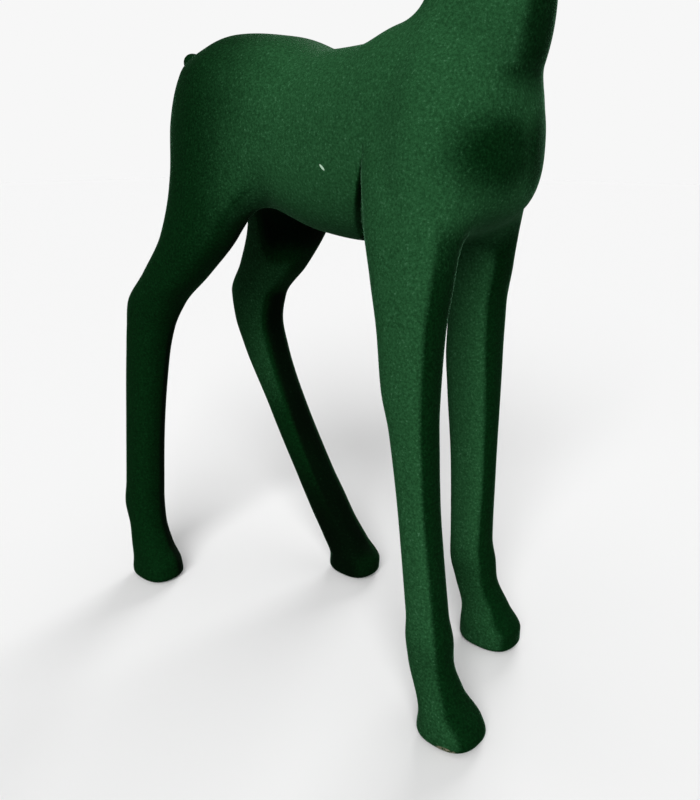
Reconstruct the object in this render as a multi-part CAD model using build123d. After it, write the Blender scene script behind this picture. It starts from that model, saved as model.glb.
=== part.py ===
from build123d import *
import os

# A standing doe, cast in glass-fibre and resin, built up on a steel and plywood frame and
# flocked all over. Millimetres: +X is the way it faces, +Y its left, +Z up from the floor.
# The origin is on the floor, under the middle of the figure's box.

os.makedirs("parts", exist_ok=True)

# Driving dimensions
withers_height = 723
wall = 3.5
glue_gap = 0.3
fit = 0.05
lining_gap = 0.2
strip_thickness = 2
station_step = 22
pad_height = 3
pad_radius = 17
rod_radius = 5
rod_bend = 60
plate_thickness = 15
plate_bottom = 600
plate_top = plate_bottom + plate_thickness
tube_wall = 1.5
spine_radius = 12.5
spine_length = 300
post_radius = 11
post_x = 180
screw_radius = 2
head_height = 2
eye_radius = 11
over = 1

# Trunk, from rump to chest: place along X, height of the back, height of the belly, half width
trunk_stations = [
    (-248, 664, 606, 26),
    (-240, 684, 586, 44),
    (-221, 703, 565, 62),
    (-188, 719, 550, 78),
    (-143, 727, 541, 88),
    (-76, 720, 528, 88),
    (-8, 701, 508, 84),
    (45, 703, 503, 84),
    (99, 719, 504, 84),
    (144, withers_height, 510, 82),
    (182, 704, 522, 73),
    (207, 677, 536, 60),
    (221, 653, 552, 46),
    (227, 636, 572, 33),
]

# Head, from the back of the skull to the nose: same columns as the trunk
head_stations = [
    (157, 1008, 976, 14),
    (165, 1024, 958, 27),
    (180, 1033, 940, 36),
    (200, 1036, 926, 41),
    (226, 1030, 918, 42),
    (252, 1014, 915, 35),
    (277, 996, 914, 28),
    (301, 981, 913, 23),
    (322, 969, 912, 20),
    (335, 958, 915, 16),
    (341, 946, 924, 9),
]

# Neck, from inside the shoulders to inside the skull: height, X, half length, half width
neck_stations = [
    (600, 128, 40, 40),
    (650, 158, 60, 56),
    (700, 173, 61, 55),
    (740, 178, 60, 48),
    (800, 179, 49, 42),
    (860, 178, 46, 38),
    (920, 184, 42, 35),
    (955, 192, 38, 32),
    (985, 200, 26, 22),
]

# Legs, from the sole up into the trunk: height, X, Y away from the middle, half length, half width
foreleg_right_stations = [
    (3, 226, 88, 34, 31),
    (10, 227, 88, 36, 32),
    (48, 211, 88, 25, 24),
    (80, 199, 89, 24, 21),
    (105, 196, 89, 25, 22),
    (135, 192, 89, 22, 20),
    (230, 180, 89, 21, 20),
    (330, 168, 88, 25, 22),
    (370, 162, 87, 30, 24),
    (430, 158, 84, 35, 26),
    (480, 153, 78, 43, 30),
    (540, 146, 70, 52, 33),
    (600, 138, 60, 54, 32),
    (660, 138, 46, 40, 26),
]
foreleg_left_stations = [
    (3, 163, 90, 36, 29),
    (10, 164, 90, 38, 30),
    (48, 155, 91, 30, 25),
    (80, 140, 90, 26, 23),
    (105, 134, 90, 28, 24),
    (135, 130, 90, 26, 22),
    (230, 128, 89, 28, 21),
    (330, 124, 88, 32, 25),
    (370, 123, 87, 33, 27),
    (430, 126, 84, 32, 28),
    (480, 128, 78, 40, 29),
    (540, 128, 70, 50, 32),
    (600, 128, 58, 52, 30),
    (660, 132, 42, 40, 24),
]
hindleg_right_stations = [
    (3, -294, 90, 36, 30),
    (10, -293, 90, 38, 31),
    (48, -302, 90, 31, 26),
    (80, -309, 90, 26, 24),
    (110, -313, 90, 28, 25),
    (145, -308, 90, 27, 24),
    (230, -298, 89, 28, 23),
    (330, -281, 88, 30, 25),
    (375, -270, 87, 35, 26),
    (410, -254, 86, 43, 29),
    (450, -214, 82, 49, 31),
    (500, -171, 76, 56, 34),
    (560, -147, 66, 70, 36),
    (620, -144, 52, 76, 34),
    (680, -146, 36, 56, 28),
]
hindleg_left_stations = [
    (3, -84, 110, 34, 28),
    (10, -83, 110, 38, 29),
    (48, -100, 110, 34, 27),
    (80, -123, 109, 31, 26),
    (110, -141, 108, 30, 26),
    (145, -161, 106, 29, 25),
    (230, -206, 102, 29, 25),
    (320, -244, 95, 34, 27),
    (365, -254, 91, 38, 28),
    (400, -249, 88, 44, 30),
    (445, -213, 84, 54, 32),
    (500, -176, 77, 64, 35),
    (560, -152, 66, 76, 38),
    (620, -148, 52, 76, 36),
    (680, -150, 36, 56, 28),
]

# Steel rods inside the legs: X, Y away from the middle, height, from the hoof to the plate
foreleg_right_route = [(206, 88, 45), (180, 89, 210), (162, 84, 420), (146, 64, 540), (146, 64, 650)]
foreleg_left_route = [(148, 90, 60), (126, 89, 210), (124, 84, 410), (130, 64, 540), (130, 64, 650)]
hindleg_right_route = [(-306, 90, 60), (-300, 89, 220), (-266, 86, 385), (-160, 52, 530), (-160, 52, 650)]
hindleg_left_route = [(-118, 109, 75), (-204, 101, 235), (-252, 88, 385), (-162, 52, 530), (-162, 52, 650)]

legs = {
    "foreleg_right": (-1, foreleg_right_stations, foreleg_right_route),
    "foreleg_left": (1, foreleg_left_stations, foreleg_left_route),
    "hindleg_right": (-1, hindleg_right_stations, hindleg_right_route),
    "hindleg_left": (1, hindleg_left_stations, hindleg_left_route),
}


def write(node, shape):
    """Writes one sub-part to its own STEP file."""
    export_step(shape, f"parts/{node}.step")


def block(x, y, z):
    """A box given by its lowest and highest X, Y and Z."""
    size = [high - low for low, high in (x, y, z)]
    middle = [(high + low) / 2 for low, high in (x, y, z)]
    return Pos(*middle) * Box(*size)


def upright_rod(x, y, bottom, top, radius):
    """A vertical cylinder standing on the given height."""
    return Pos(x, y, (bottom + top) / 2) * Cylinder(radius, top - bottom)


def lengthwise_body(stations, inset):
    """A smooth body lofted through upright ellipses along X, drawn in by inset all round."""
    first, last = stations[0][0], stations[-1][0]
    middle = (first + last) / 2
    squeeze = 1 - 2 * inset / (last - first)
    sections = []
    for x, top, bottom, half_width in stations:
        place = (middle + (x - middle) * squeeze, 0, (top + bottom) / 2)
        plane = Plane(origin=place, x_dir=(0, 1, 0), z_dir=(1, 0, 0))
        sections.append(plane * Ellipse(half_width - inset, (top - bottom) / 2 - inset))
    return loft(sections)


def even_stations(stations, step):
    """The stations read off at even steps, on cubics whose slopes never overshoot."""
    starts = [station[0] for station in stations]
    rises = []
    for low, high in zip(stations, stations[1:]):
        rises.append([(b - a) / (high[0] - low[0]) for a, b in zip(low, high)])
    slopes = [rises[0]]
    for before, after in zip(rises, rises[1:]):
        slopes.append([2 * a * b / (a + b) if a * b > 0 else 0 for a, b in zip(before, after)])
    slopes.append(rises[-1])
    count = round((starts[-1] - starts[0]) / step)
    even = []
    for i in range(count + 1):
        place = starts[0] + (starts[-1] - starts[0]) * i / count
        k = max(j for j in range(len(starts) - 1) if starts[j] <= place)
        gap = starts[k + 1] - starts[k]
        t = (place - starts[k]) / gap
        low, high = stations[k], stations[k + 1]
        even.append([
            a * (1 + 2 * t) * (1 - t) ** 2 + b * t * t * (3 - 2 * t)
            + gap * (c * t * (1 - t) ** 2 - d * t * t * (1 - t))
            for a, b, c, d in zip(low, high, slopes[k], slopes[k + 1])
        ])
    return even


def upright_body(stations, inset):
    """A smooth limb lofted through level ellipses: stations of height, X, Y, half length, half width."""
    sections = []
    for height, x, y, half_length, half_width in even_stations(stations, station_step):
        sections.append(Pos(x, y, height) * Ellipse(half_length - inset, half_width - inset))
    return loft(sections)


def halves(shape):
    """The left and the right half of a shell, parted on the middle plane."""
    reach = 400
    left = shape & block((-reach, reach), (0, reach), (0, 3 * reach))
    right = shape & block((-reach, reach), (-reach, 0), (0, 3 * reach))
    return left, right


def bent_rod(route, radius):
    """A round rod along straight runs joined by bends of one radius."""
    path = FilletPolyline(*route, radius=rod_bend)
    return sweep(Plane(origin=path @ 0, z_dir=path % 0) * Circle(radius), path)


def screw(x, y, top, length):
    """A vertical cheese-head screw, its head's upper face at the given height."""
    shank = upright_rod(x, y, top - length, top - head_height, screw_radius)
    return shank + upright_rod(x, y, top - head_height, top, 2 * screw_radius)


def screw_hole(x, y, bottom, top):
    """A clearance hole for a screw, a little longer than the stock it goes through."""
    return upright_rod(x, y, bottom - over, top + over, screw_radius + fit)


def corners(x, y, reach_x, reach_y):
    """Four places set square about a point."""
    return [(x + i * reach_x, y + j * reach_y) for i in (-1, 1) for j in (-1, 1)]


trunk_outer = lengthwise_body(trunk_stations, 0)
trunk_clear = lengthwise_body(trunk_stations, -glue_gap)
trunk_cavity = lengthwise_body(trunk_stations, wall)
trunk_fitted = lengthwise_body(trunk_stations, wall + lining_gap)
trunk_taped = lengthwise_body(trunk_stations, wall + lining_gap + strip_thickness)
head_outer = lengthwise_body(head_stations, 0)
head_clear = lengthwise_body(head_stations, -glue_gap)
head_cavity = lengthwise_body(head_stations, wall)
head_fitted = lengthwise_body(head_stations, wall + lining_gap)
neck_centred = [(z, x, 0, a, b) for z, x, a, b in neck_stations]
neck_outer = upright_body(neck_centred, 0)
neck_cavity = upright_body(neck_centred, wall)
neck_fitted = upright_body(neck_centred, wall + lining_gap)


# Legs: a solid casting round a bent steel rod, with a pad screwed under the hoof
pad_screw_sink = 1
pad_screw_end = 21
pad_head_radius = 4
leg_bores = []
socket_places = []
pad_screws = []
for name, (side, stations, route) in legs.items():
    placed_route = [(x, side * y, z) for x, y, z in route]
    bore = bent_rod(placed_route, rod_radius + fit)
    leg_bores.append(bent_rod(placed_route, rod_radius + over))
    casting = upright_body([(z, x, side * y, a, b) for z, x, y, a, b in stations], 0)
    sole_x, sole_y = stations[0][1], side * stations[0][2]
    pad = upright_rod(sole_x, sole_y, 0, pad_height, pad_radius)
    pad_screw = upright_rod(sole_x, sole_y, pad_screw_sink, pad_height, pad_head_radius)
    pad_screw += upright_rod(sole_x, sole_y, pad_height, pad_screw_end, screw_radius)
    pad_hole = upright_rod(sole_x, sole_y, -over, pad_height, pad_head_radius + fit)
    pad_hole += upright_rod(sole_x, sole_y, pad_height, pad_screw_end + over, screw_radius + fit)
    write(name, casting - trunk_clear - bore - pad_hole)
    write(f"{name}_rod", bent_rod(placed_route, rod_radius))
    write(f"{name}_pad", pad - pad_hole)
    pad_screws.append(pad_screw)
    socket_places.append((name, *placed_route[-1][:2]))
write("pad_screws", Compound(children=pad_screws))


# Rod sockets: a flanged sleeve standing on the plate over each leg, with a grub screw through it
sleeve_radius = 9
flange_radius = 17
flange_thickness = 4
flange_screw_reach = 13
flange_screw_length = 18
flange_screw_top = plate_top + flange_thickness + head_height
socket_top = 655
socket_cap = 4
grub_height = 640
grub_radius = 2.5
grub_length = 5
grub_align = (Align.CENTER, Align.CENTER, Align.MIN)
socket_screws = []
grub_screws = []
plate_holes = []
for name, x, y in socket_places:
    sleeve = upright_rod(x, y, plate_top, socket_top, sleeve_radius)
    sleeve += upright_rod(x, y, plate_top, plate_top + flange_thickness, flange_radius)
    sleeve -= upright_rod(x, y, plate_top - over, socket_top - socket_cap, rod_radius + fit)
    grub_line = Pos(x, y, grub_height) * Rot(0, 90, 0)
    sleeve -= grub_line * Cylinder(grub_radius + fit, 2 * sleeve_radius, align=grub_align)
    grub_start = Pos(0, 0, rod_radius + fit)
    grub_screws.append(grub_line * grub_start * Cylinder(grub_radius, grub_length, align=grub_align))
    for screw_x in (x - flange_screw_reach, x + flange_screw_reach):
        sleeve -= screw_hole(screw_x, y, plate_top, plate_top + flange_thickness)
        socket_screws.append(screw(screw_x, y, flange_screw_top, flange_screw_length))
        plate_holes.append(screw_hole(screw_x, y, plate_bottom, plate_top))
    write(f"{name}_socket", sleeve)
write("socket_screws", Compound(children=socket_screws))
write("grub_screws", Compound(children=grub_screws))


# Spine tube along the back of both plates, held in a drilled block on each
spine_height = plate_top + 24
clamp_places = {"spine_clamp_front": 112, "spine_clamp_rear": -112}
clamp_top = plate_top + 40
clamp_reach = 12
clamp_half_width = 28
clamp_screw_y = 21
clamp_screw_length = 54
clamp_screws = []
spine_line = Pos(0, 0, spine_height) * Rot(0, 90, 0)
spine = spine_line * Cylinder(spine_radius, spine_length)
spine -= spine_line * Cylinder(spine_radius - tube_wall, spine_length + over)
write("spine_tube", spine)
for name, x in clamp_places.items():
    sides = (-clamp_half_width, clamp_half_width)
    clamp = block((x - clamp_reach, x + clamp_reach), sides, (plate_top, clamp_top))
    clamp -= spine_line * Cylinder(spine_radius + fit, spine_length)
    for y in (-clamp_screw_y, clamp_screw_y):
        clamp -= screw_hole(x, y, plate_top, clamp_top)
        clamp_screws.append(screw(x, y, clamp_top + head_height, clamp_screw_length))
        plate_holes.append(screw_hole(x, y, plate_bottom, plate_top))
    write(name, clamp)
write("clamp_screws", Compound(children=clamp_screws))


# Neck post: a steel tube on a screwed flange, up through the neck into a block in the skull
post_flange_radius = 27
post_screw_reach = 14
post_top = 1000
flange_top = plate_top + flange_thickness
flange_screws = []
post = upright_rod(post_x, 0, plate_top, post_top, post_radius)
post -= upright_rod(post_x, 0, plate_top - over, post_top + over, post_radius - tube_wall)
post_flange = upright_rod(post_x, 0, plate_top, flange_top, post_flange_radius)
post_flange -= upright_rod(post_x, 0, plate_top - over, flange_top + over, post_radius + fit)
for x, y in corners(post_x, 0, post_screw_reach, post_screw_reach):
    post_flange -= screw_hole(x, y, plate_top, flange_top)
    flange_screws.append(screw(x, y, flange_screw_top, flange_screw_length))
    plate_holes.append(screw_hole(x, y, plate_bottom, plate_top))
write("neck_post", post)
write("neck_flange", post_flange)
write("flange_screws", Compound(children=flange_screws))

# Where the post passes, the shells are open; the bulkhead and the block are bored to fit it
post_clearance = upright_rod(post_x, 0, plate_top, post_top + 5, post_radius + 4)
post_bore = upright_rod(post_x, 0, plate_top, post_top, post_radius + fit)
neck_bulkhead = (neck_fitted & block((100, 260), (-80, 80), (800, 812))) - post_bore
head_block = (head_fitted & block((163, 215), (-60, 60), (955, 975))) - post_bore
write("neck_bulkhead", neck_bulkhead)
write("head_block", head_block)


# Plywood plates cut to the inside of the trunk
full_width = (-120, 120)
plate_levels = (plate_bottom, plate_top)
shoulder_plate = trunk_fitted & block((92, 212), full_width, plate_levels)
hip_plate = trunk_fitted & block((-215, -95), full_width, plate_levels)
for name, x, y in socket_places:
    plate_holes.append(upright_rod(x, y, plate_bottom - over, plate_top + over, rod_radius + fit))
for hole in plate_holes:
    shoulder_plate -= hole
    hip_plate -= hole
write("shoulder_plate", shoulder_plate)
write("hip_plate", hip_plate)


# Tail: a short upturned scut on a dowel in the rump
tail_place = Pos(-242, 0, 690) * Rot(0, -55, 0)
tail_peg_radius = 3
tail_peg_length = 24
tail_bore = tail_place * Cylinder(tail_peg_radius + fit, tail_peg_length + 2 * fit)
# Along the scut from the rump: reach, half height, half width
scut_stations = [(-8, 13, 14), (6, 12, 13), (20, 12, 13), (31, 8, 9), (36, 3, 3)]
scut = []
for reach, half_height, half_width in scut_stations:
    scut.append(tail_place * Pos(0, 0, reach) * Ellipse(half_height, half_width))
write("tail", loft(scut) - trunk_clear - tail_bore)
write("tail_peg", tail_place * Cylinder(tail_peg_radius, tail_peg_length))


# Bonding strips over the seam inside the trunk
strip_width = 30
strip = trunk_fitted - trunk_taped
strip_sides = (-strip_width / 2, strip_width / 2)
back_strip = strip & block((-300, 300), strip_sides, (660, 800))
write("back_seam_strip", back_strip - post_clearance - tail_bore)
write("belly_seam_strip", strip & block((-300, 300), strip_sides, (400, 580)))


# Trunk, neck and head shells
trunk_shell = trunk_outer - trunk_cavity - post_clearance
for bore in leg_bores:
    trunk_shell -= bore
trunk_shell -= tail_bore
for side_name, shell in zip(("left", "right"), halves(trunk_shell)):
    write(f"body_shell_{side_name}", shell)

neck_shell = neck_outer - neck_cavity - trunk_clear - head_clear
for side_name, shell in zip(("left", "right"), halves(neck_shell)):
    write(f"neck_shell_{side_name}", shell)

# Head shell, with glass eyes let into it and an ear on a dowel at each side of the skull
eye_place = (233, 33, 992)
ear_root = (176, 32, 1018)
ear_tip = (160, 139, 1082)
ear_peg_radius = 2.5
ear_peg_length = 26
ear_peg_middle = 2
# Along the ear from root to tip: share of its length, half width, half thickness
ear_stations = [
    (0.02, 14, 11),
    (0.2, 20, 12),
    (0.45, 26, 9),
    (0.7, 22, 6),
    (0.88, 13, 4),
    (0.97, 6, 2.5),
    (1.0, 2, 1),
]
head_shell = head_outer - head_cavity - post_clearance
for side_name, side in (("left", 1), ("right", -1)):
    eye_at = Pos(eye_place[0], side * eye_place[1], eye_place[2])
    head_shell -= eye_at * Sphere(eye_radius + fit)
    write(f"eye_{side_name}", eye_at * Sphere(eye_radius))

    root = Vector(ear_root[0], side * ear_root[1], ear_root[2])
    tip = Vector(ear_tip[0], side * ear_tip[1], ear_tip[2])
    along = (tip - root).normalized()
    length = (tip - root).length
    ear_plane = Plane(origin=root, x_dir=along.cross(Vector(1, 0, 0)), z_dir=along)
    leaf = []
    for share, half_width, half_thickness in ear_stations:
        leaf.append(ear_plane.offset(share * length) * Ellipse(half_width, half_thickness))
    peg_plane = ear_plane.offset(ear_peg_middle)
    peg_bore = peg_plane * Cylinder(ear_peg_radius + fit, ear_peg_length + 2 * fit)
    write(f"ear_{side_name}", loft(leaf) - head_clear - peg_bore)
    write(f"ear_peg_{side_name}", peg_plane * Cylinder(ear_peg_radius, ear_peg_length))
    head_shell -= peg_bore
for side_name, shell in zip(("left", "right"), halves(head_shell)):
    write(f"head_shell_{side_name}", shell)
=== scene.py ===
import math
import bpy
import numpy as np
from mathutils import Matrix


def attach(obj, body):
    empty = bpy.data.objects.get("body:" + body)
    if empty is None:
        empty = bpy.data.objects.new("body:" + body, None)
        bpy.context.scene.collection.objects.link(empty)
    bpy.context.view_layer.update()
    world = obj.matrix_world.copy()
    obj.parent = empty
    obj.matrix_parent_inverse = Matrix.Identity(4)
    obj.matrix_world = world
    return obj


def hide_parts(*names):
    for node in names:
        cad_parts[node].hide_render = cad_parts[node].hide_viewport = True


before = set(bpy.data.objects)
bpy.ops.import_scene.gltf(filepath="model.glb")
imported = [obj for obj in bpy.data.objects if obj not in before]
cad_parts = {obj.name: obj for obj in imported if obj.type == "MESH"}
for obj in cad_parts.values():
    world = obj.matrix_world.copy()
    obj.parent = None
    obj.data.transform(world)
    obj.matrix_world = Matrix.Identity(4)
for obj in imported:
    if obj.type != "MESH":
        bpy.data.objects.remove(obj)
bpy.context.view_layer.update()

mm = 0.001
print("frame loaded,", len(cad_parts), "CAD nodes")

view = {
    "place": (0.61687, -0.69339, 0.60083),   # metres, in the figure's frame
    "azimuth": 41.41,                        # degrees round; 0 looks square at the right side
    "pitch": 17.5,                           # degrees downwards
    "lens": 36.0,
    "sensor": 36.0,
}

light = {
    # name: where it comes from, strength, and how many degrees across it is
    "key": ((0.50, -0.74, 0.60), 3.0, 34),
    "top": ((-0.10, 0.05, 1.0), 0.70, 80),
    "edge": ((-0.36, 0.86, 0.36), 1.7, 30),
    "room": 0.13,           # strength of the room's own light on the figure
    "backdrop": 0.93,       # how bright the room looks behind the figure
    "floor": 0.86,          # how pale the floor looks
    "floorBounce": 0.30,    # how much of its light it gives back to the figure
    "floorHalf": 14,        # metres from the middle to the floor's edges
}


def makeView():
    # a camera off the figure's right shoulder, lower than its back and turned a little down
    camera = bpy.data.cameras.new("camera")
    camera.lens = view["lens"]
    camera.sensor_width = view["sensor"]
    holder = bpy.data.objects.new("camera", camera)
    bpy.context.scene.collection.objects.link(holder)
    holder.location = view["place"]
    holder.rotation_euler = (math.radians(90 - view["pitch"]), 0, math.radians(view["azimuth"]))
    bpy.context.scene.camera = holder


def makeLight():
    # a white room that looks brighter than it lights the figure, and three broad soft lamps
    world = bpy.data.worlds.new("studio")
    bpy.context.scene.world = world
    world.use_nodes = True
    tree = world.node_tree
    room = tree.nodes["Background"]
    room.inputs["Color"].default_value = (1, 1, 1, 1)
    room.inputs["Strength"].default_value = light["room"]
    seen = tree.nodes.new("ShaderNodeBackground")
    seen.inputs["Color"].default_value = (1, 1, 1, 1)
    seen.inputs["Strength"].default_value = light["backdrop"]
    path = tree.nodes.new("ShaderNodeLightPath")
    either = tree.nodes.new("ShaderNodeMixShader")
    tree.links.new(path.outputs["Is Camera Ray"], either.inputs[0])
    tree.links.new(room.outputs[0], either.inputs[1])
    tree.links.new(seen.outputs[0], either.inputs[2])
    tree.links.new(either.outputs[0], tree.nodes["World Output"].inputs[0])
    for name in ("key", "top", "edge"):
        (x, y, z), strength, across = light[name]
        lamp = bpy.data.lights.new(name, "SUN")
        lamp.energy = strength
        lamp.angle = math.radians(across)
        holder = bpy.data.objects.new(name, lamp)
        bpy.context.scene.collection.objects.link(holder)
        holder.rotation_euler = (math.atan2(math.hypot(x, y), z), 0, math.atan2(x, -y))
    bpy.context.scene.view_settings.view_transform = "Standard"


class Socket:
    # wraps a node's output, so that sums and products on it add Math nodes
    def __init__(self, tree, link):
        self.tree = tree
        self.link = link

    def maths(self, operation, first, second):
        node = self.tree.nodes.new("ShaderNodeMath")
        node.operation = operation
        for slot, value in zip(node.inputs, (first, second)):
            if isinstance(value, Socket):
                self.tree.links.new(value.link, slot)
            else:
                slot.default_value = value
        return Socket(self.tree, node.outputs[0])

    def __add__(self, other):
        return self.maths("ADD", self, other)

    __radd__ = __add__

    def __mul__(self, other):
        return self.maths("MULTIPLY", self, other)

    __rmul__ = __mul__

    def __sub__(self, other):
        return self.maths("SUBTRACT", self, other)

    def __rsub__(self, other):
        return self.maths("SUBTRACT", other, self)


class Finish:
    # one material, its Principled shader, and a method that adds any other node
    def __init__(self, name, **constants):
        self.material = bpy.data.materials.new(name)
        self.material.use_nodes = True
        self.tree = self.material.node_tree
        self.shader = self.tree.nodes["Principled BSDF"]
        self.place = self.node("ShaderNodeTexCoord").link.node.outputs["Object"]
        for label, value in constants.items():
            self.shader.inputs[label.replace("_", " ")].default_value = value

    def node(self, kind, settings=None, output=0, **values):
        made = self.tree.nodes.new(kind)
        for label, value in (settings or {}).items():
            setattr(made, label, value)
        for label, value in values.items():
            byNumber = label[1:].isdigit()    # i0, i6: a socket by its place in the list
            slot = made.inputs[int(label[1:]) if byNumber else label.replace("_", " ")]
            if isinstance(value, Socket):
                self.tree.links.new(value.link, slot)
            elif isinstance(value, bpy.types.NodeSocket):
                self.tree.links.new(value, slot)
            else:
                slot.default_value = value
        return Socket(self.tree, made.outputs[output])

    def noise(self, scale, detail=2.0, rough=0.5):
        return self.node("ShaderNodeTexNoise", Vector=self.place, Scale=scale, Detail=detail,
                         Roughness=rough)

    def blend(self, factor, low, high):
        # a colour between low and high by factor
        return self.node("ShaderNodeMix", {"data_type": "RGBA"}, output=2, i0=factor, i6=low, i7=high)

    def ramp(self, value, low, high):
        # 0 below low, 1 above high, smooth between
        return self.node("ShaderNodeMapRange", {"interpolation_type": "SMOOTHSTEP"}, Value=value,
                         From_Min=low, From_Max=high, To_Min=0.0, To_Max=1.0)

    def feed(self, label, value):
        self.tree.links.new(value.link, self.shader.inputs[label])

    def bump(self, height, strength, distance):
        made = self.node("ShaderNodeBump", Height=height, Strength=strength, Distance=distance)
        self.feed("Normal", made)


flock = {
    "black": (0.0003, 0.0026, 0.0006, 1),                                    # hidden from any light
    "shaded": [(0.0005, 0.0100, 0.0018, 1), (0.0018, 0.0240, 0.0048, 1)],    # painted shade: darker green for faces painted as turned from the light
    "paintedLit": [(0.0090, 0.0490, 0.0155, 1), (0.0205, 0.0970, 0.0340, 1)],      # painted light: paler green for faces painted as lit
    "fleck": (0.0650, 0.1650, 0.0900, 1),    # single tufts, painted as highlights where they catch the light
    "fleckRange": (0.585, 0.70),
    "shadeRange": (0.34, 0.66),
    "blackRange": (-0.9, 0.05),              # painted light at which the painted black shadow gives way to green
    "paintedLitRange": (0.02, 0.98),               # painted light at which the darker painted shade gives way to the paler painted light
    "patches": (9.0, 3.0, 0.5, 0.55),        # scale, detail, roughness, and how much it sways the painted light and shade
    "tufts": (390, 3.0, 0.65, 0.22),         # the same for tufts about 2 mm across
    "fibres": (1500, 2.0, 0.6),
    "bump": (0.55, 0.0012),                  # strength, and height in metres
    "sheen": 0.36,
    "sheenTint": (0.24, 0.62, 0.34, 1),
    "bald": (0.22, 0.20, 0.14, 1),           # resin showing where the pile has gone
    "baldPlace": (0.240, -0.116, 0.005),     # on the right fore hoof, at its lower edge
    "baldSize": (0.011, 0.020, 0.0045),
    "baldRange": (0.40, 0.50),
    "scuff": (0.52, 0.74, 0.56, 1),          # a small pale nick on the right flank
    "scuffPlace": (0.041, -0.083, 0.582),
    "scuffSize": (0.0044, 0.02, 0.0013),
    "scuffTurn": 42,
}


def patch(finish, centre, radii, turn=0.0):
    # 1 inside an ellipsoid and 0 outside it, with a soft edge; turned about Y in degrees
    local = finish.node("ShaderNodeMapping", {"vector_type": "TEXTURE"}, Vector=finish.place,
                        Location=centre, Rotation=(0, math.radians(turn), 0), Scale=radii)
    reach = finish.node("ShaderNodeVectorMath", {"operation": "LENGTH"}, output=1, i0=local)
    return 1.0 - finish.ramp(reach, 0.75, 1.15)


def makeFlock(name="deep green flock"):
    finish = Finish(name, Roughness=0.92, Specular_IOR_Level=0.03, Sheen_Weight=flock["sheen"],
                    Sheen_Roughness=0.16, Sheen_Tint=flock["sheenTint"])
    patchy = finish.noise(*flock["patches"][:3])
    grain = finish.noise(*flock["tufts"][:3])
    fibre = finish.noise(*flock["fibres"])
    # painted light and shade, read from the vertices: painted black shadow lowest, then the darker and the
    # paler green
    paintedLight = finish.node("ShaderNodeAttribute", {"attribute_name": "paintedLight"}, output=2)
    paintedLight = paintedLight + (patchy - 0.5) * flock["patches"][3] + (grain - 0.5) * flock["tufts"][3]
    lit = finish.ramp(paintedLight, *flock["blackRange"])
    paintedLight = finish.ramp(paintedLight, *flock["paintedLitRange"])
    mottle = grain * 0.70 + fibre * 0.30
    shade = finish.ramp(mottle, *flock["shadeRange"])
    base = finish.blend(paintedLight, finish.blend(shade, *flock["shaded"]), finish.blend(shade, *flock["paintedLit"]))
    base = finish.blend(lit, flock["black"], base)
    # the pale tufts are painted highlights, strongest where the painted light is
    fleck = finish.ramp(mottle, *flock["fleckRange"]) * (paintedLight * 0.92 + 0.08)
    base = finish.blend(fleck, base, flock["fleck"])
    bald = patch(finish, flock["baldPlace"], flock["baldSize"]) * finish.ramp(grain, *flock["baldRange"])
    base = finish.blend(bald, base, flock["bald"])
    scuff = patch(finish, flock["scuffPlace"], flock["scuffSize"], flock["scuffTurn"])
    finish.feed("Base Color", finish.blend(scuff, base, flock["scuff"]))
    finish.bump(grain * 0.6 + fibre * 0.4, *flock["bump"])
    return finish.material


# painted light and shade on the flock: how much light each vertex is painted with, by which way it faces
# and where it is
paintedShading = {
    # each pair is the range over which something comes in; places are in metres
    "sideways": (0.52, 0.90),            # the normal's part that points to either side
    "level": (0.2, 0.7),                 # the normal's part that points up or down
    "bodyHeight": (0.46, 0.54),          # from the legs up to the body
    "bodyLeast": 0.35,
    "breastPlace": (0.14, 0.19),
    "breastHeight": (0.50, 0.55),
    "breastLeast": 0.9,
    "hollow": (0.215, 0.034, 0.596),     # the middle of the hollow on each side of the breast, painted in shade
    "hollowSize": (0.10, 0.070, 0.050),
    "hollowEdge": (0.25, 1.15),
    "throatForward": (0.80, 0.98),
    "throatHeight": (0.63, 0.68),
    "hollowLoss": 0.9,                   # how much of the painted light the hollows and the throat lose to painted shade
    "rump": (-0.195, 0.025),             # no painted light at the first place, all of it from the second
    "hoofHeight": (0.09, 0.16),
    "hoofLeast": 0.6,
    "inward": (-0.1, 0.3),               # the normal's part that points to the other leg
    "frontShare": 0.5,                   # how far the left hind leg's front counts as inward
    "hindPlace": (0.02, 0.07),           # how far back the hind legs' painted shadow starts
    "hindHeight": (0.50, 0.56),
    "innerPaintedLight": (0.55, 1.3),             # painted light inside the hind legs, and how much of it painted shadow can take
    "forward": (0.12, 0.62),             # the normal's part that points forward, where it goes
    "hockHeight": (0.12, 0.34),
    "hockShift": 0.35,                   # how much further forward that has to be above the hock
    "shankHeight": (0.05, 0.33),
    "tuckHeight": (0.44, 0.49),          # painted shadow up under the belly
    "tuckPlace": (-0.205, -0.175),
    "slitEdge": (0.0015, 0.0055),
    "slitStart": (0.012, 0.060),         # how far below the slit's top its painted shadow comes in
    "slitEnd": (0.124, 0.132),
    "slitOut": 0.087,                    # no shade further than this from the middle
    "slitLoss": 1.2,
}


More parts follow.
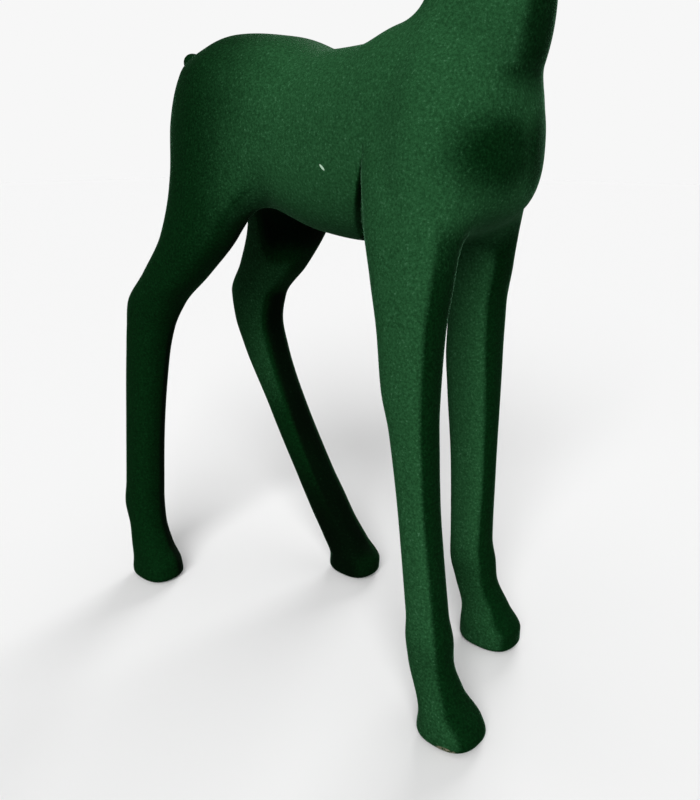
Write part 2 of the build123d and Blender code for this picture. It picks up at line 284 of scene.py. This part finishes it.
def paintLightAndShade(piece):
    # painted light and shade at each vertex, 0 to 1: most on faces turned to either side, less at the
    # hindquarters, least in the hollows of the chest and throat; below 0, as painted shadow, inside the
    # hind legs and the slit
    mesh = piece.data
    count = len(mesh.vertices)
    spots = np.empty(count * 3, np.float32)
    normals = np.empty(count * 3, np.float32)
    mesh.vertices.foreach_get("co", spots)
    mesh.vertex_normals.foreach_get("vector", normals)
    x, y, z = spots.reshape(-1, 3).T
    nx, ny, nz = normals.reshape(-1, 3).T
    # painted light on the sides of the legs, the sides and the top of the body, and the breast
    sideways = smoothStep(np.abs(ny), *paintedShading["sideways"])
    upper = smoothStep(z, *paintedShading["bodyHeight"])
    level = smoothStep(np.abs(nz), *paintedShading["level"])
    least = paintedShading["bodyLeast"]
    paintedLight = sideways * (1 - upper) + upper * (least + (1 - least) * np.maximum(sideways, level))
    breast = smoothStep(x, *paintedShading["breastPlace"]) * smoothStep(z, *paintedShading["breastHeight"])
    paintedLight = np.maximum(paintedLight, paintedShading["breastLeast"] * breast)
    # painted shade in the hollows, at the throat, at the hindquarters and at the hooves
    away = [(place - middle) / size for place, middle, size
            in zip((x, np.abs(y), z), paintedShading["hollow"], paintedShading["hollowSize"])]
    hollow = 1 - smoothStep(np.sqrt(away[0] ** 2 + away[1] ** 2 + away[2] ** 2), *paintedShading["hollowEdge"])
    throat = smoothStep(nx, *paintedShading["throatForward"]) * smoothStep(z, *paintedShading["throatHeight"])
    paintedLight = paintedLight * (1 - paintedShading["hollowLoss"] * hollow) * (1 - paintedShading["hollowLoss"] * throat)
    least = paintedShading["hoofLeast"]
    paintedLight = paintedLight * smoothStep(x, *paintedShading["rump"]) * (least + (1 - least) * smoothStep(z, *paintedShading["hoofHeight"]))
    # painted shadow on the insides of the hind legs
    inward = paintedShading["frontShare"] * np.maximum(nx, 0) * (y > 0) - np.sign(y) * ny
    inside = smoothStep(inward, *paintedShading["inward"]) * smoothStep(-x, *paintedShading["hindPlace"])
    inside = inside * (1 - smoothStep(z, *paintedShading["hindHeight"]))
    forward = nx - paintedShading["hockShift"] * smoothStep(z, *paintedShading["hockHeight"])
    tucked = smoothStep(z, *paintedShading["tuckHeight"]) * smoothStep(x, *paintedShading["tuckPlace"])
    deepest = np.maximum(smoothStep(forward, *paintedShading["forward"]), tucked)
    deepest = np.maximum(deepest, 1 - smoothStep(z, *paintedShading["shankHeight"]))
    most, loss = paintedShading["innerPaintedLight"]
    paintedLight = paintedLight * (1 - inside) + inside * (most - loss * deepest)
    # painted shadow in the slit behind each elbow
    down = figure["slitTop"] - z
    slit = 1 - smoothStep(np.abs(x - slitLine(z)), *paintedShading["slitEdge"])
    slit = slit * smoothStep(down, *paintedShading["slitStart"]) * (1 - smoothStep(down, *paintedShading["slitEnd"]))
    paintedLight = paintedLight - slit * (np.abs(y) < paintedShading["slitOut"]) * paintedShading["slitLoss"]
    mesh.attributes.new("paintedLight", "FLOAT", "POINT").data.foreach_set("value", paintedLight.astype(np.float32))


# the figure's shape is a field that is zero on its surface, below zero inside and in metres
# trunk: place along X, height of the back, height of the belly, half width
trunkTable = [
    (-248, 664, 606, 26), (-240, 684, 586, 44), (-221, 703, 565, 62), (-188, 719, 550, 78),
    (-143, 727, 541, 88), (-76, 720, 528, 88), (-8, 701, 508, 84), (45, 703, 503, 84),
    (99, 719, 504, 84), (144, 723, 510, 82), (182, 704, 522, 73), (207, 677, 536, 60),
    (221, 653, 552, 46), (227, 636, 572, 33),
]
# neck: height, place along X, Y, half length, half width
neckTable = [
    (600, 128, 0, 40, 40), (650, 158, 0, 60, 56), (700, 173, 0, 61, 55), (740, 178, 0, 60, 48),
    (800, 179, 0, 49, 42), (860, 178, 0, 46, 38), (920, 184, 0, 42, 35), (955, 192, 0, 38, 32),
    (985, 200, 0, 26, 22),
]
# head: same columns as the trunk
headTable = [
    (157, 1006, 978, 14), (165, 1024, 958, 27), (180, 1033, 940, 36), (200, 1036, 926, 41),
    (226, 1030, 918, 41), (252, 1012, 915, 34), (277, 994, 914, 27), (301, 981, 913, 22),
    (322, 971, 912, 20), (335, 960, 915, 17), (341, 948, 923, 11),
]
# swellings and hollows on each side of the head: place, half sizes, how softly it joins
headSwells = {
    "eye": ((234, 31, 992), (16, 12, 13), 10),
    "cheek": ((214, 22, 950), (30, 15, 24), 20),
    "noseWing": ((330, 9, 950), (15, 11, 12), 12),
    "earRoot": ((176, 33, 1014), (14, 12, 14), 14),
}
headHollows = {
    "nostril": ((339, 12, 952), (7, 4, 4), 3),
    "mouth": ((322, 18, 928), (26, 8, 1.8), 3),
    "underEye": ((255, 46, 975), (30, 14, 16), 18),
    "eyeOpening": ((234, 43, 992), (11.5, 7, 8), 2.5),
}
# legs: height, place along X, Y, half length, half width
legTables = {
    "forelegRight": [
        (0, 226, -88, 34, 31), (10, 227, -88, 36, 32), (24, 225, -88, 33, 30),
        (48, 211, -88, 25, 24), (80, 199, -89, 24, 21), (105, 196, -89, 25, 22),
        (135, 192, -89, 22, 20), (230, 180, -89, 21, 20), (330, 168, -88, 25, 22),
        (370, 162, -87, 30, 24), (430, 158, -84, 35, 26), (480, 153, -78, 43, 30),
        (540, 146, -70, 52, 33), (600, 138, -60, 54, 32), (660, 138, -46, 40, 26),
    ],
    "forelegLeft": [
        (0, 163, 90, 36, 29), (10, 164, 90, 38, 30), (24, 164, 90, 38, 30),
        (48, 155, 91, 30, 25), (80, 140, 90, 26, 23), (105, 134, 90, 28, 24),
        (135, 130, 90, 26, 22), (230, 128, 89, 28, 21), (330, 124, 88, 32, 25),
        (370, 123, 87, 33, 27), (430, 126, 84, 32, 28), (480, 128, 78, 40, 29),
        (540, 128, 70, 50, 32), (600, 128, 58, 52, 30), (660, 132, 42, 40, 24),
    ],
    "hindlegRight": [
        (0, -294, -90, 36, 30), (10, -293, -90, 38, 31), (24, -293, -90, 38, 29),
        (48, -302, -90, 31, 26), (80, -309, -90, 26, 24), (110, -313, -90, 28, 25),
        (145, -308, -90, 27, 24), (230, -298, -89, 28, 23), (330, -281, -88, 30, 25),
        (375, -270, -87, 35, 26), (410, -254, -86, 43, 29), (450, -214, -82, 49, 31),
        (500, -171, -76, 56, 34), (560, -147, -66, 70, 36), (620, -144, -52, 76, 34),
        (680, -146, -36, 56, 28),
    ],
    "hindlegLeft": [
        (0, -84, 110, 34, 28), (10, -83, 110, 38, 29), (24, -82, 110, 38, 29),
        (48, -100, 110, 34, 27), (80, -123, 109, 31, 26), (110, -141, 108, 30, 26),
        (145, -161, 106, 29, 25), (230, -206, 102, 29, 25), (320, -244, 95, 34, 27),
        (365, -254, 91, 38, 28), (400, -249, 88, 44, 30), (445, -213, 84, 54, 32),
        (500, -176, 77, 64, 35), (560, -152, 66, 76, 38), (620, -148, 52, 76, 36),
        (680, -150, 36, 56, 28),
    ],
}

figure = {
    "low": (-0.37, -0.135, -0.012),     # corners of the grid that the surface is found on
    "high": (0.365, 0.155, 1.05),
    "step": 3.0 * mm,          # the grid's spacing
    "block": 4,                # cells along each side of a block of the coarse grid
    "skin": 2.5 * mm,          # how thick each piece's wall is
    "trunkPower": 2.45,        # 2 is an ellipse; more is squarer in section
    "neckPower": 2.35,
    "headPower": 2.2,
    "legPower": 2.5,
    "bodyEnds": 22 * mm,       # how round the trunk's and the head's ends are
    "uprightEnds": (10 * mm, 20 * mm),  # the same at the bottom and the top of the legs and the neck
    "neckBlend": 26 * mm,
    "headBlend": 16 * mm,
    "foreBlend": (4 * mm, 44 * mm),     # behind the elbow, and in front of it
    "hindBlend": (34 * mm, 26 * mm),
    "slitPlace": 97 * mm,      # where the slit behind the elbow starts, along X
    "slitTop": 616 * mm,
    "slitLean": 0.048,         # how far it moves back for each metre down
    "slitCurve": 3.0,          # and how much more for the square of that
    "slitWidth": 4.2 * mm,     # half its width at the bottom
    "slitFloor": 42 * mm,      # how near the middle it reaches
    "slitLength": 132 * mm,
    "slitShut": (0.45, 90 * mm),        # how far shut it is at the top, and how far down it is all open
}


def along(table, where):
    # cubic pieces through the table's rows, with slopes that never overshoot; one column each
    rows = np.array(table, float) * mm
    starts, values = rows[:, 0], rows[:, 1:]
    gaps = np.diff(starts)[:, None]
    rises = np.diff(values, axis=0) / gaps
    before, after = rises[:-1], rises[1:]
    total = np.where(before + after == 0, 1, before + after)
    inner = np.where(before * after > 0, 2 * before * after / total, 0)
    slopes = np.vstack([rises[:1], inner, rises[-1:]])
    spot = np.clip(where, starts[0], starts[-1])
    k = np.clip(np.searchsorted(starts, spot, side="right") - 1, 0, len(starts) - 2)
    gap = gaps[k, 0]
    t = (spot - starts[k]) / gap
    columns = []
    for j in range(values.shape[1]):
        low, high = values[k, j], values[k + 1, j]
        columns.append(low * (1 + 2 * t) * (1 - t) ** 2 + high * t * t * (3 - 2 * t)
                       + gap * (slopes[k, j] * t * (1 - t) ** 2 - slopes[k + 1, j] * t * t * (1 - t)))
    return columns


def roundSection(u, v, a, b, power):
    # near the curve |u/a|^n + |v/b|^n = 1, about how far (u, v) is outside it
    p, q = np.abs(u) / a + 1e-6, np.abs(v) / b + 1e-6
    size = (p ** power + q ** power) ** (1 / power)
    slope = size ** (1 - power) * np.hypot(p ** (power - 1) / a, q ** (power - 1) / b)
    return (size - 1) / slope


def joined(a, b, radius):
    # the lower of two fields, rounded where they meet
    near = np.maximum(radius - np.abs(a - b), 0)
    return np.minimum(a, b) - near * near / (4 * radius)


def cut(a, b, radius):
    # the higher of two fields, rounded where they meet
    return -joined(-a, -b, radius)


def lengthwise(table, x, y, z, power):
    # a body laid along X: the table's section at each x, cut off at both ends
    top, bottom, half = along(table, x)
    field = roundSection(y, z - (top + bottom) / 2, half, (top - bottom) / 2, power)
    first, last = table[0][0] * mm, table[-1][0] * mm
    return cut(cut(field, first - x, figure["bodyEnds"]), x - last, figure["bodyEnds"])


def upright(table, x, y, z, power):
    # a body that stands up: the table's section at each height, cut off at both ends
    px, py, a, b = along(table, z)
    field = roundSection(x - px, y - py, a, b, power)
    first, last = table[0][0] * mm, table[-1][0] * mm
    foot, top = figure["uprightEnds"]
    return cut(cut(field, first - z, foot), z - last, top)


def ball(x, y, z, centre, radii):
    # about how far a point is outside an ellipsoid
    u, v, w = [(p - c * mm) / (r * mm) for p, c, r in zip((x, y, z), centre, radii)]
    size = np.sqrt(u * u + v * v + w * w) + 1e-6
    slope = np.sqrt((u / radii[0]) ** 2 + (v / radii[1]) ** 2 + (w / radii[2]) ** 2) / (size * mm) + 1e-3
    return (size - 1) / slope


def smoothStep(value, low, high):
    # 0 up to low, 1 from high, and three times the square less twice the cube between
    t = np.clip((value - low) / (high - low), 0, 1)
    return t * t * (3 - 2 * t)


def partFields(x, y, z):
    # each part's own field, before they are joined
    parts = {
        "trunk": lengthwise(trunkTable, x, y, z, figure["trunkPower"]),
        "neck": upright(neckTable, x, y, z, figure["neckPower"]),
        "head": headField(x, y, z),
    }
    for name, table in legTables.items():
        parts[name] = upright(table, x, y, z, figure["legPower"])
    return parts


def headField(x, y, z):
    # the head's long body, with its swellings joined on and its hollows cut out
    side = np.abs(y)
    head = lengthwise(headTable, x, y, z, figure["headPower"])
    for centre, radii, soft in headSwells.values():
        head = joined(head, ball(x, side, z, centre, radii), soft * mm)
    for centre, radii, soft in headHollows.values():
        head = cut(head, -ball(x, side, z, centre, radii), soft * mm)
    return head


def slitLine(z):
    # where the middle of the slit behind the elbow is along X at each height
    down = figure["slitTop"] - z
    return figure["slitPlace"] - down * figure["slitLean"] - down * down * figure["slitCurve"]


def figureField(x, y, z):
    # the parts joined softly one after another, less the two slits
    parts = partFields(x, y, z)
    side = np.abs(y)
    body = joined(parts["trunk"], parts["neck"], figure["neckBlend"])
    for name, field in parts.items():
        if "leg" not in name:
            continue
        px = along(legTables[name], z)[0]
        front = smoothStep(x - px, -30 * mm, 20 * mm)     # 0 behind the leg's middle line, 1 in front
        low, high = figure["foreBlend"] if "fore" in name else figure["hindBlend"]
        body = joined(body, field, low + (high - low) * front)
    # the slit between the elbow and the ribs, wider downwards and shut at the top
    shut, opened = figure["slitShut"]
    reach = figure["slitLength"] / 2
    gape = figure["slitWidth"] * ((1 + shut) * smoothStep(figure["slitTop"] - z, 0, opened) - shut)
    slit = cut(np.abs(x - slitLine(z)) - gape, figure["slitFloor"] - side, 3 * mm)
    slit = np.maximum(slit, np.abs(z - figure["slitTop"] + reach) - reach)
    body = cut(body, -slit, 4 * mm)
    return joined(body, parts["head"], figure["headBlend"])


def sampled(low, high, step):
    # the field on a grid, worked out closely only near the surface
    block = figure["block"]
    counts = [int(math.ceil((b - a) / (step * block))) for a, b in zip(low, high)]
    coarse = [a + np.arange(n + 1) * step * block for a, n in zip(low, counts)]
    grid = np.meshgrid(*coarse, indexing="ij")
    rough = figureField(*[g.ravel() for g in grid]).reshape(grid[0].shape)
    near = np.abs(rough) < step * block * 2.2
    cells = np.zeros(counts, bool)
    for i in (0, 1):
        for j in (0, 1):
            for k in (0, 1):
                cells |= near[i:i + counts[0], j:j + counts[1], k:k + counts[2]]
    fine = [n * block for n in counts]
    field = np.repeat(np.repeat(np.repeat(rough[:-1, :-1, :-1], block, 0), block, 1), block, 2)
    wanted = np.repeat(np.repeat(np.repeat(cells, block, 0), block, 1), block, 2)
    spots = np.nonzero(wanted)
    places = [a + s * step for a, s in zip(low, spots)]
    field[spots] = figureField(*places)
    print("field worked out at", len(spots[0]), "of", field.size, "points")
    return field


def skinned(field, low, step):
    # surface nets: one vertex in each cell that the surface crosses, one quad round each crossed edge
    inside = field < 0
    cellShape = tuple(n - 1 for n in field.shape)
    corners = [(i, j, k) for i in (0, 1) for j in (0, 1) for k in (0, 1)]
    total = np.zeros(cellShape, np.int8)
    for i, j, k in corners:
        total += inside[i:i + cellShape[0], j:j + cellShape[1], k:k + cellShape[2]]
    cells = np.nonzero((total > 0) & (total < 8))
    number = np.full(cellShape, -1, np.int64)
    number[cells] = np.arange(len(cells[0]))
    base = np.stack(cells, 1)
    value = {c: field[tuple((base + c).T)] for c in corners}
    total = np.zeros((len(base), 3))
    count = np.zeros(len(base))
    for start in corners:
        for axis in range(3):
            if start[axis]:
                continue
            end = tuple(1 if n == axis else start[n] for n in range(3))
            a, b = value[start], value[end]
            crossed = (a < 0) != (b < 0)
            t = np.where(crossed, a / np.where(crossed, a - b, 1), 0)
            spot = np.array(start) + t[:, None] * (np.array(end) - np.array(start))
            total += spot * crossed[:, None]
            count += crossed
    points = np.array(low) + (base + total / count[:, None]) * step
    quads = []
    for axis in range(3):
        u, v = (axis + 1) % 3, (axis + 2) % 3
        a = np.moveaxis(inside, axis, 0)
        crossed = np.moveaxis(a[:-1] != a[1:], 0, axis)
        spots = np.stack(np.nonzero(crossed), 1)
        spots = spots[(spots[:, u] > 0) & (spots[:, v] > 0)]
        ring = []
        for du, dv in ((1, 1), (0, 1), (0, 0), (1, 0)):
            cell = spots.copy()
            cell[:, u] -= du
            cell[:, v] -= dv
            ring.append(number[tuple(cell.T)])
        ring = np.stack(ring, 1)
        flip = ~inside[tuple(spots.T)]
        ring[flip] = ring[flip][:, ::-1]
        quads.append(ring)
    return points, np.vstack(quads)


def slopeAt(function, points, reach=0.4 * mm):
    # the gradient of a field by central differences
    steps = []
    for axis in range(3):
        ahead, behind = points.copy(), points.copy()
        ahead[:, axis] += reach
        behind[:, axis] -= reach
        steps.append((function(*ahead.T) - function(*behind.T)) / (2 * reach))
    return np.stack(steps, 1)


def settled(points, rounds=2):
    # Newton steps that carry each point onto the surface, and the outward normals there
    for _ in range(rounds):
        slope = slopeAt(figureField, points)
        size = (slope * slope).sum(1)
        move = figureField(*points.T)[:, None] * slope / np.maximum(size, 1e-6)[:, None]
        points = points - np.clip(move, -2 * mm, 2 * mm)
    slope = slopeAt(figureField, points, 0.8 * mm)
    return points, slope / np.linalg.norm(slope, axis=1)[:, None]


def meshed(name, points, faces, normals=None, smooth=True):
    # an object from arrays of points and of faces that all have as many corners
    mesh = bpy.data.meshes.new(name)
    mesh.vertices.add(len(points))
    mesh.vertices.foreach_set("co", np.asarray(points, np.float32).ravel())
    sides = faces.shape[1]
    mesh.loops.add(faces.size)
    mesh.loops.foreach_set("vertex_index", faces.ravel().astype(np.int32))
    mesh.polygons.add(len(faces))
    mesh.polygons.foreach_set("loop_start", np.arange(0, faces.size, sides, dtype=np.int32))
    mesh.update(calc_edges=True)
    mesh.validate()
    if smooth:
        mesh.polygons.foreach_set("use_smooth", np.ones(len(faces), bool))
    if normals is not None:
        mesh.normals_split_custom_set_from_vertices(normals.tolist())
    made = bpy.data.objects.new(name, mesh)
    bpy.context.scene.collection.objects.link(made)
    return made


def walled(name, points, quads, normals, thickness):
    # a closed wall: the outer skin, the same skin drawn in by the thickness, and a rim between them
    used = np.unique(quads)
    again = np.zeros(len(points), np.int64)
    again[used] = np.arange(len(used))
    outer = again[quads]
    count = len(used)
    inner = outer[:, ::-1] + count
    edges = np.stack([outer, np.roll(outer, -1, 1)], 2).reshape(-1, 2)
    low, high = edges.min(1), edges.max(1)
    key = low * count + high
    _, first, times = np.unique(key, return_index=True, return_counts=True)
    border = edges[first[times == 1]]
    rim = np.stack([border[:, 1], border[:, 0], border[:, 0] + count, border[:, 1] + count], 1)
    outside, facing = points[used], normals[used]
    everywhere = np.vstack([outside, outside - facing * thickness])
    faces = np.vstack([outer, inner, rim])
    return meshed(name, everywhere, faces, np.vstack([facing, -facing]))


def makeFigure():
    # the joined surface, split so that each part has its own closed wall
    low, high = np.array(figure["low"]), np.array(figure["high"])
    field = sampled(low, high, figure["step"])
    points, quads = skinned(field, low, figure["step"])
    points, normals = settled(points)
    parts = partFields(*points.T)
    names = list(parts)
    stack = np.stack([parts[n] for n in names], 1)
    owner = stack.argmin(1)
    # a quad belongs to the part that most of its corners belong to, and the earliest wins a tie
    votes = np.stack([(owner[quads] == i).sum(1) for i in range(len(names))], 1)
    faceOwner = votes.argmax(1)
    print("figure has", len(points), "points and", len(quads), "quads")
    made = {}
    for i, name in enumerate(names):
        made[name] = walled(name + "Skin", points, quads[faceOwner == i], normals, figure["skin"])
    return made


def tube(name, path, across, up, half, thick):
    # a closed tube: at each point of path an ellipse, half wide along across and thick along up
    turns = 48
    angle = np.linspace(0, 2 * np.pi, turns, endpoint=False)
    ring = (path[:, None, :] + across[:, None, :] * (half[:, None] * np.cos(angle))[:, :, None]
            + up[:, None, :] * (thick[:, None] * np.sin(angle))[:, :, None])
    return capped(name, ring)


def capped(name, rings):
    # quads between neighbouring rings of points, and a fan of triangles to a pole at each end
    count, turns = rings.shape[:2]
    points = np.vstack([rings.reshape(-1, 3), rings[0].mean(0), rings[-1].mean(0)])
    i, j = np.meshgrid(np.arange(count - 1), np.arange(turns), indexing="ij")
    k = (j + 1) % turns
    here, there = i * turns, (i + 1) * turns
    quads = np.stack([here + j, here + k, there + k, there + j], -1).reshape(-1, 4)
    j = np.arange(turns)
    k = (j + 1) % turns
    first, last = len(points) - 2, len(points) - 1
    top = (count - 1) * turns
    fans = np.vstack([np.stack([k, j, np.full(turns, first)], 1),
                      np.stack([top + j, top + k, np.full(turns, last)], 1)])
    mesh = bpy.data.meshes.new(name)
    mesh.from_pydata(points.tolist(), [], quads.tolist() + fans.tolist())
    mesh.polygons.foreach_set("use_smooth", np.ones(len(quads) + len(fans), bool))
    made = bpy.data.objects.new(name, mesh)
    bpy.context.scene.collection.objects.link(made)
    return made


ear = {
    "root": (176, 30, 1012),
    "tip": (158, 139, 1080),
    "width": 25 * mm,          # half width at the widest
    "cup": 62,                 # half angle, in degrees, that the cup wraps round
    "rootCup": 95,             # how much further it wraps at the root
    "rootReach": (-0.15, 0.42),
    "turn": (1.0, 0.18, -0.12),     # which way the cup opens: forward, outward, upward
    "wall": 2.4 * mm,
    "thinning": 0.7,           # share of the wall that is lost by the tip
    "filled": 0.36,            # how much of its length is filled in at the root
    "droop": 7 * mm,           # how far the middle bows up from a straight line
}


def makeEar(name, side):
    # a leaf bent round into a cup, with t from 0 at the root to 1 at the tip: its half width goes as
    # 0.5 (1 - t)^1.5 plus sin(pi t^0.78)^0.85, its section is an arc of a circle, and the outer and inner
    # arcs are joined round into one closed ring at each t
    t = np.linspace(0.0, 0.995, 44)
    flip = np.array([1, side, 1])
    root, tip = np.array(ear["root"]) * mm * flip, np.array(ear["tip"]) * mm * flip
    lengthways = (tip - root) / np.linalg.norm(tip - root)
    forward = np.array(ear["turn"]) * flip
    forward = forward - lengthways * (forward @ lengthways)
    forward /= np.linalg.norm(forward)
    upward = np.cross(forward, lengthways) * side
    bow = np.sin(np.pi * t) * ear["droop"]
    path = root + np.outer(t, tip - root) + np.outer(bow, upward)
    half = ear["width"] * (0.50 * (1 - t) ** 1.5 + np.sin(np.pi * t ** 0.78) ** 0.85) + 0.4 * mm
    wrap = np.radians(ear["cup"] + ear["rootCup"] * (1 - smoothStep(t, *ear["rootReach"])))
    radius = half / np.sin(np.minimum(wrap, np.pi / 2))
    wall = ear["wall"] * (1 - ear["thinning"] * t) + radius * (1 - smoothStep(t, 0.10, ear["filled"]))
    sweep = np.linspace(-1, 1, 25)
    outer = np.stack([radius[:, None] * (np.cos(wrap[:, None] * sweep) - 0.5),
                      radius[:, None] * np.sin(wrap[:, None] * sweep)], -1)
    within = np.maximum(radius - wall, 0.15 * mm)
    edge = 1 - 0.06 * np.abs(sweep) ** 8
    inner = np.stack([within[:, None] * np.cos(wrap[:, None] * sweep * edge) - radius[:, None] * 0.5,
                      within[:, None] * np.sin(wrap[:, None] * sweep * edge)], -1)
    ring = np.concatenate([outer, inner[:, ::-1]], 1)
    rings = path[:, None, :] - ring[..., :1] * forward + ring[..., 1:] * upward
    if side > 0:
        rings = rings[:, ::-1]
    return capped(name, rings)


tail = {
    "root": (-230, 0, 682),
    "tip": (-270, 0, 710),
    "half": 12.0 * mm,         # radius of the rounded end
    "flare": 7.0 * mm,         # how much stouter it is at the root
    "flat": 1.1,               # how much wider it is than thick
}


def makeTail():
    # a rounded stub on a straight line: its radius falls as (1 - t)^2 from the root to the end's own
    # radius, and the end closes as an ellipse
    t = np.sin(np.linspace(0, 1, 30) * np.pi / 2)
    root, tip = np.array(tail["root"]) * mm, np.array(tail["tip"]) * mm
    lean = (tip - root) / np.linalg.norm(tip - root)
    path = root + np.outer(t, tip - root)
    close = np.sqrt(np.clip(1 - t ** 8, 0, 1))
    radius = (tail["half"] + tail["flare"] * (1 - t) ** 2) * close + 0.2 * mm
    sideways = np.tile([0.0, 1.0, 0.0], (len(t), 1))
    upward = np.tile(np.cross(lean, [0.0, 1.0, 0.0]), (len(t), 1))
    return tube("tailScut", path, -sideways, upward, radius * tail["flat"], radius)


eye = {
    "place": (233, 31, 992),
    "radius": 11.0 * mm,
}


def makeEye(name, side):
    # a ball: rings about an axis that points outwards, each as wide as the cosine of its angle
    centre = np.array(eye["place"]) * mm * np.array([1, side, 1])
    height = np.radians(np.linspace(-89, 89, 40))
    path = centre + np.outer(np.sin(height) * eye["radius"], [0.0, side, 0.0])
    across = np.tile([1.0, 0.0, 0.0], (len(path), 1))
    upward = np.tile([0.0, 0.0, -float(side)], (len(path), 1))
    girth = np.cos(height) * eye["radius"]
    return tube(name, path, across, upward, girth, girth)


def makeEyeFinish():
    # almost black brown, faintly clouded, under a clear polish
    finish = Finish("polished dark bead", Roughness=0.06, Specular_IOR_Level=0.6, Coat_Weight=0.6,
                    Coat_Roughness=0.03)
    cloud = finish.noise(160, 2.0)
    finish.feed("Base Color", finish.blend(finish.ramp(cloud, 0.35, 0.7), (0.004, 0.003, 0.002, 1),
                                           (0.020, 0.011, 0.006, 1)))
    return finish.material


def makeMetal(name, colour, rough, scale=90):
    # drawn or plated metal: fine streaks that vary the roughness
    finish = Finish(name, Metallic=1.0)
    streak = finish.noise(scale, 4.0, 0.6)
    darker = tuple(c * 0.75 for c in colour)
    finish.feed("Base Color", finish.blend(streak, (*darker, 1), (*colour, 1)))
    finish.feed("Roughness", streak * 0.2 + (rough - 0.1))
    finish.bump(streak, 0.15, 0.0002)
    return finish.material


def makeWood(name, pale, dark, scale):
    # rings stretched along X, and a fine pore
    finish = Finish(name, Roughness=0.72)
    turned = finish.node("ShaderNodeMapping", Vector=finish.place, Scale=(0.12, 1.0, 1.0))
    wave = finish.node("ShaderNodeTexWave", {"bands_direction": "Z"}, Vector=turned, Scale=scale,
                       Distortion=3.0)
    pore = finish.noise(700, 2.0)
    finish.feed("Base Color", finish.blend(wave * 0.7 + pore * 0.3, (*dark, 1), (*pale, 1)))
    finish.bump(pore, 0.3, 0.0003)
    return finish.material


def makePlain(name, low, high, rough, scale):
    # a mottled matt finish between two colours
    finish = Finish(name, Roughness=rough)
    mottle = finish.noise(scale, 3.0, 0.6)
    finish.feed("Base Color", finish.blend(finish.ramp(mottle, 0.3, 0.7), (*low, 1), (*high, 1)))
    finish.bump(mottle, 0.4, 0.0005)
    return finish.material


blackLow, blackHigh = (0.012, 0.012, 0.013), (0.03, 0.03, 0.032)
plyPale, plyDark = (0.62, 0.47, 0.30), (0.45, 0.31, 0.17)
beechPale, beechDark = (0.60, 0.42, 0.26), (0.50, 0.33, 0.19)
millGrey = (0.42, 0.42, 0.43)
# part of a CAD node's name, and its finish
innerFinishes = {
    "rod": makeMetal("bright drawn bar", (0.50, 0.50, 0.51), 0.32),
    "socket": makePlain("black primer", blackLow, blackHigh, 0.55, 300),
    "neck_flange": makePlain("black primer on flange", blackLow, blackHigh, 0.55, 300),
    "spine_tube": makeMetal("mill finish tube", millGrey, 0.42),
    "neck_post": makeMetal("mill finish post", millGrey, 0.42),
    "screws": makeMetal("zinc plated screw", (0.62, 0.62, 0.60), 0.35, 400),
    "plate": makeWood("birch plywood", plyPale, plyDark, 420),
    "bulkhead": makeWood("birch plywood bulkhead", plyPale, plyDark, 420),
    "head_block": makeWood("beech block", beechPale, beechDark, 60),
    "peg": makeWood("beech dowel", beechPale, beechDark, 90),
    "clamp": makeMetal("drilled aluminium", (0.72, 0.72, 0.73), 0.40, 200),
    "strip": makePlain("resin glass tape", (0.48, 0.44, 0.30), (0.60, 0.56, 0.42), 0.45, 250),
    "pad": makePlain("black felt", (0.010, 0.010, 0.010), (0.035, 0.035, 0.035), 0.95, 900),
}


def dressInside():
    # a CAD node with a key in its name takes that key's finish, and the longest key's where several fit
    for name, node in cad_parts.items():
        fits = [key for key in innerFinishes if key in name]
        if fits:
            node.data.materials.clear()
            node.data.materials.append(innerFinishes[max(fits, key=len)])


def makeFloor():
    # a pale sheet of paper; to the figure it gives back less light than it shows
    half = light["floorHalf"]
    corners = np.array([(-half, -half, 0), (half, -half, 0), (half, half, 0), (-half, half, 0)], float)
    floor = meshed("floor", corners, np.array([[0, 1, 2, 3]]), smooth=False)
    paper = Finish("pale floor", Roughness=0.9, Specular_IOR_Level=0.0)
    pale, dim = [(*[light[key]] * 3, 1) for key in ("floor", "floorBounce")]
    seen = paper.node("ShaderNodeLightPath", output=0)
    paper.feed("Base Color", paper.blend(seen, dim, pale))
    floor.data.materials.append(paper.material)


# each skin, and the CAD nodes that it stands for
covers = {
    "trunk": ("body_shell_left", "body_shell_right"),
    "neck": ("neck_shell_left", "neck_shell_right"),
    "head": ("head_shell_left", "head_shell_right"),
    "forelegRight": ("foreleg_right",),
    "forelegLeft": ("foreleg_left",),
    "hindlegRight": ("hindleg_right",),
    "hindlegLeft": ("hindleg_left",),
}

makeView()
makeLight()
print("view and light set")
flockGreen = makeFlock()
print("flock mixed")
skins = makeFigure()
for name, piece in skins.items():
    paintLightAndShade(piece)
    piece.data.materials.append(flockGreen)
    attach(piece, "root")
    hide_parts(*covers[name])
print("figure skinned")

eyeFinish = makeEyeFinish()
for cadSide, side in (("left", 1), ("right", -1)):
    earPiece = makeEar("ear" + cadSide.capitalize(), side)
    paintLightAndShade(earPiece)
    earPiece.data.materials.append(flockGreen)
    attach(earPiece, "root")
    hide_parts("ear_" + cadSide)
    eyePiece = makeEye("eye" + cadSide.capitalize(), side)
    eyePiece.data.materials.append(eyeFinish)
    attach(eyePiece, "root")
    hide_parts("eye_" + cadSide)
scut = makeTail()
paintLightAndShade(scut)
scut.data.materials.append(flockGreen)
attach(scut, "root")
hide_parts("tail")
dressInside()
print("ears, eyes, tail and inside dressed")
makeFloor()
